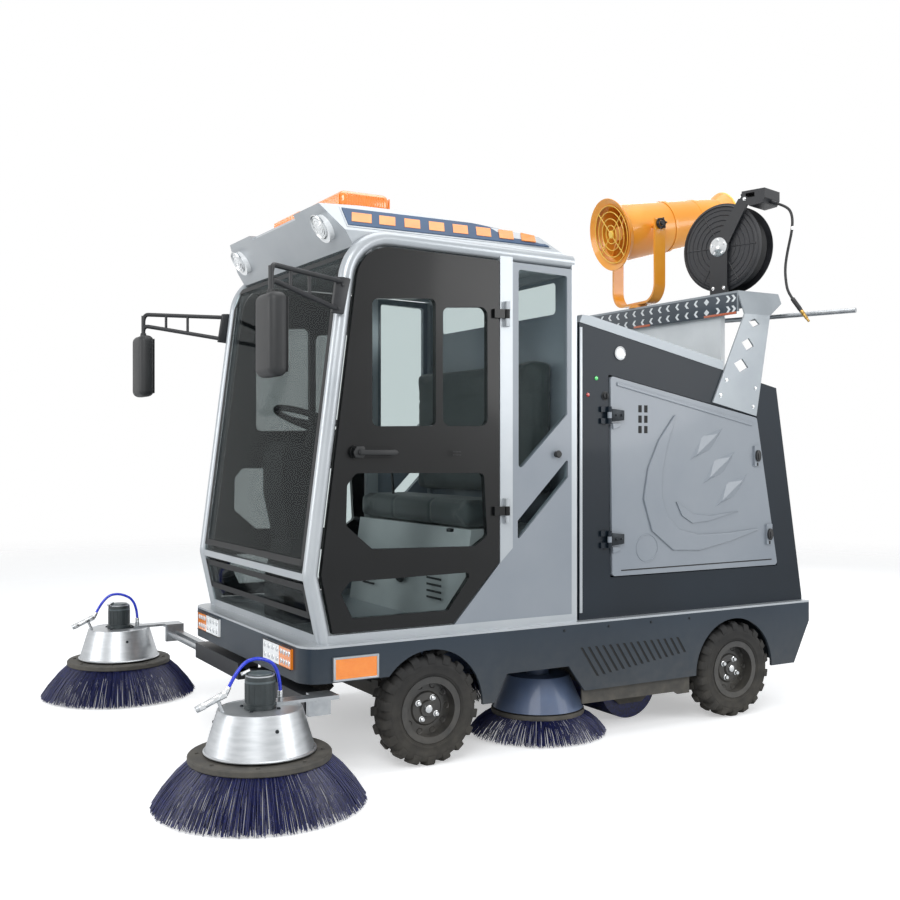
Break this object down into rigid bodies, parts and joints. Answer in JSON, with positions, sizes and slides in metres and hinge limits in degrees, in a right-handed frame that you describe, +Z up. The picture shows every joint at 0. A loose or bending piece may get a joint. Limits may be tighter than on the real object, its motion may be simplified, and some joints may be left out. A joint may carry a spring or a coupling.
{
  "type": "compact road sweeper",
  "caption": "Compact ride-on road sweeper with a glazed cab, front side brushes on sliding arms, underbody brushes, a tapered rear body, and a spray cannon with hose reel on a rear bridge.",
  "frame": {"origin": "on the ground, below the middle of the front axle", "axes": "+X forward, +Y to the vehicle's left, +Z up"},
  "size_m": [3.2301, 2.604, 2.4925],
  "materials": {
    "navy_paint": "satin",
    "body_paint": "satin",
    "grey_paint": "satin",
    "silver_tube": "gloss",
    "black_paint": "satin",
    "chassis_black": "matt",
    "orange_paint": "gloss",
    "platform_grey": "satin",
    "pale_panel": "satin",
    "steel": "satin",
    "hood_steel": "satin",
    "hood_blue": "satin",
    "rim_black": "gloss",
    "tyre_rubber": "matt",
    "bristle_blue": "matt",
    "black_plastic": "matt",
    "seat_vinyl": "matt",
    "seat_base_grey": "satin",
    "clear_glass": "gloss",
    "white_lens": "gloss",
    "amber_lens": "gloss",
    "red_lens": "gloss",
    "battery_case": "matt",
    "blue_hose": "gloss",
    "black_hose": "satin"
  },
  "bodies": {
    "vehicle": {"amber_lamps": "amber_lens", "arm_sleeves": "steel", "battery_block": "battery_case", "cab_frame": "silver_tube", "cab_glass": "clear_glass", "cab_panels": "grey_paint", "chassis_frame": "chassis_black", "dashboard": "black_plastic", "deck": "steel", "front_axle": "chassis_black", "front_bumper": "navy_paint", "light_bar": "amber_lens", "mid_brush_hoods": "hood_blue", "mirrors": "black_plastic", "platform": "platform_grey", "platform_panel": "pale_panel", "rear_axle": "chassis_black", "rear_body": "body_paint", "reel_hose": "black_hose", "reel_stand": "black_paint", "roof_fairing": "grey_paint", "seat_base": "seat_base_grey", "seat_cushions": "seat_vinyl", "skirts": "navy_paint", "support_boom": "steel", "tail_lamps": "red_lens", "top_cover": "platform_grey", "white_lamps": "white_lens"},
    "knuckle_left": {"knuckle_left": "chassis_black"},
    "knuckle_right": {"knuckle_right": "chassis_black"},
    "tie_rod": {"tie_rod": "steel"},
    "steering_wheel": {"steering_wheel": "black_plastic"},
    "wheel_front_left": {"tyre_front_left": "tyre_rubber", "rim_front_left": "rim_black"},
    "wheel_front_right": {"tyre_front_right": "tyre_rubber", "rim_front_right": "rim_black"},
    "wheel_rear_left": {"tyre_rear_left": "tyre_rubber", "rim_rear_left": "rim_black"},
    "wheel_rear_right": {"tyre_rear_right": "tyre_rubber", "rim_rear_right": "rim_black"},
    "door_left": {"door_left": "black_paint", "door_glass_left": "clear_glass"},
    "door_right": {"door_right": "black_paint", "door_glass_right": "clear_glass"},
    "hatch_left": {"hatch_left": "grey_paint"},
    "hatch_right": {"hatch_right": "grey_paint"},
    "brush_arm_left": {"brush_arm_left": "steel", "brush_hood_left": "hood_steel", "brush_hose_left": "blue_hose"},
    "brush_arm_right": {"brush_arm_right": "steel", "brush_hood_right": "hood_steel", "brush_hose_right": "blue_hose"},
    "front_brush_left": {"front_brush_left": "bristle_blue"},
    "front_brush_right": {"front_brush_right": "bristle_blue"},
    "mid_brush_left": {"mid_brush_left": "bristle_blue"},
    "mid_brush_right": {"mid_brush_right": "bristle_blue"},
    "main_roller": {"main_roller": "bristle_blue"},
    "cannon_yoke": {"cannon_yoke": "orange_paint"},
    "cannon_barrel": {"cannon_barrel": "orange_paint"},
    "reel_drum": {"reel_drum": "black_plastic"}
  },
  "joints": [
    {"name": "steer_left", "type": "hinge", "parent": "vehicle", "child": "knuckle_left", "pos_m": [0, 0.5, 0.205], "axis": [0, 0, 1], "range_deg": [-30, 30]},
    {"name": "steer_right", "type": "hinge", "parent": "vehicle", "child": "knuckle_right", "pos_m": [0, -0.5, 0.205], "axis": [0, 0, 1], "range_deg": [-30, 30]},
    {"name": "tie_rod_turn", "type": "hinge", "parent": "knuckle_left", "child": "tie_rod", "pos_m": [-0.11, 0.5, 0.15], "axis": [0, 0, 1], "range_deg": [-31, 31]},
    {"name": "steering_wheel_turn", "type": "hinge", "parent": "vehicle", "child": "steering_wheel", "pos_m": [0.18, 0, 1.268], "axis": [-0.3419, 0, 0.9397], "range_deg": [-360, 360]},
    {"name": "wheel_front_left_spin", "type": "hinge", "parent": "knuckle_left", "child": "wheel_front_left", "pos_m": [0, 0.589, 0.205], "axis": [0, 1, 0], "continuous": true},
    {"name": "wheel_front_right_spin", "type": "hinge", "parent": "knuckle_right", "child": "wheel_front_right", "pos_m": [0, -0.589, 0.205], "axis": [0, 1, 0], "continuous": true},
    {"name": "wheel_rear_left_spin", "type": "hinge", "parent": "vehicle", "child": "wheel_rear_left", "pos_m": [-1.51, 0.589, 0.205], "axis": [0, 1, 0], "continuous": true},
    {"name": "wheel_rear_right_spin", "type": "hinge", "parent": "vehicle", "child": "wheel_rear_right", "pos_m": [-1.51, -0.589, 0.205], "axis": [0, 1, 0], "continuous": true},
    {"name": "door_left_swing", "type": "hinge", "parent": "vehicle", "child": "door_left", "pos_m": [-0.345, 0.619, 1.3], "axis": [0, 0, 1], "range_deg": [0, 85]},
    {"name": "door_right_swing", "type": "hinge", "parent": "vehicle", "child": "door_right", "pos_m": [-0.345, -0.619, 1.3], "axis": [0, 0, -1], "range_deg": [0, 85]},
    {"name": "hatch_left_swing", "type": "hinge", "parent": "vehicle", "child": "hatch_left", "pos_m": [-0.84, 0.618, 1], "axis": [0, 0, -1], "range_deg": [0, 100]},
    {"name": "hatch_right_swing", "type": "hinge", "parent": "vehicle", "child": "hatch_right", "pos_m": [-0.84, -0.618, 1], "axis": [0, 0, 1], "range_deg": [0, 100]},
    {"name": "brush_arm_left_slide", "type": "slide", "parent": "vehicle", "child": "brush_arm_left", "axis": [0, 1, 0], "range_m": [0, 0.444]},
    {"name": "brush_arm_right_slide", "type": "slide", "parent": "vehicle", "child": "brush_arm_right", "axis": [0, 1, 0], "range_m": [0, 0.444]},
    {"name": "front_brush_left_spin", "type": "hinge", "parent": "brush_arm_left", "child": "front_brush_left", "pos_m": [0.693, 0.727, 0.2], "axis": [0, 0, 1], "continuous": true},
    {"name": "front_brush_right_spin", "type": "hinge", "parent": "brush_arm_right", "child": "front_brush_right", "pos_m": [0.693, -1.171, 0.2], "axis": [0, 0, 1], "continuous": true},
    {"name": "mid_brush_left_spin", "type": "hinge", "parent": "vehicle", "child": "mid_brush_left", "pos_m": [-0.625, 0.415, 0.15], "axis": [0, 0, 1], "continuous": true},
    {"name": "mid_brush_right_spin", "type": "hinge", "parent": "vehicle", "child": "mid_brush_right", "pos_m": [-0.625, -0.415, 0.15], "axis": [0, 0, 1], "continuous": true},
    {"name": "main_roller_spin", "type": "hinge", "parent": "vehicle", "child": "main_roller", "pos_m": [-1.09, 0, 0.153], "axis": [0, 1, 0], "continuous": true},
    {"name": "cannon_pan", "type": "hinge", "parent": "vehicle", "child": "cannon_yoke", "pos_m": [-1.636, -0.163, 1.9], "axis": [0, 0, -1], "range_deg": [-60, 30]},
    {"name": "cannon_tilt", "type": "hinge", "parent": "cannon_yoke", "child": "cannon_barrel", "pos_m": [-1.636, -0.163, 2.26], "axis": [-0.1097, -0.994, 0], "range_deg": [-10, 50]},
    {"name": "reel_spin", "type": "hinge", "parent": "vehicle", "child": "reel_drum", "pos_m": [-1.745, 0.352, 2.096], "axis": [0.9659, 0.2588, 0], "continuous": true}
  ],
  "couplings": [
    {"joint": "steer_right", "follows": "steer_left", "ratio": 1},
    {"joint": "tie_rod_turn", "follows": "steer_left", "ratio": -1},
    {"joint": "steering_wheel_turn", "follows": "steer_left", "ratio": 12}
  ]
}
